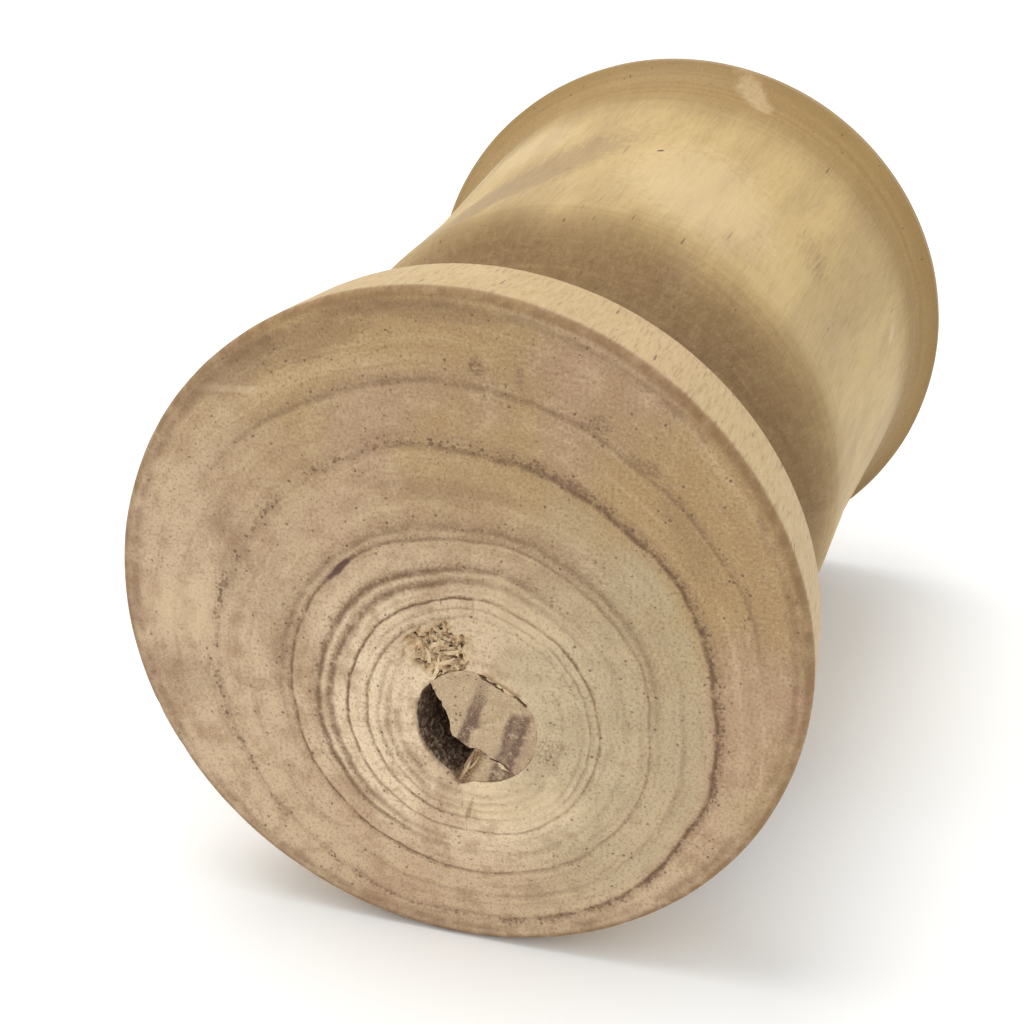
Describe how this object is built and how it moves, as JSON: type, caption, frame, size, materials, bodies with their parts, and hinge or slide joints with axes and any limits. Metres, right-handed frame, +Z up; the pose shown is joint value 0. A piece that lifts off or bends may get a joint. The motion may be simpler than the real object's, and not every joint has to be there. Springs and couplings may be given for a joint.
{
  "type": "spool",
  "caption": "Bare turned wooden spool with two rims, a coved neck, a straight barrel and a bore plugged at one end.",
  "frame": {"origin": "on the surface that the two rims lie on, under the middle of the spool's length", "axes": "+Y along the spool's axis from the near end face to the far end face, +Z up as it lies on its rims"},
  "size_m": [0.092, 0.13, 0.092],
  "materials": {
    "spool_wood": "bare sanded wood, matt, with growth rings on the end faces",
    "plug_wood": "bare broken end grain with purple-brown stripes",
    "wedge_wood": "bare torn wood, darker than the plug",
    "splinter_wood": "bare pale torn fibres"
  },
  "bodies": {
    "root": {"turned_spool": "spool_wood", "bore_plug": "plug_wood", "plug_wedge": "wedge_wood", "splinters": "splinter_wood"}
  },
  "joints": []
}
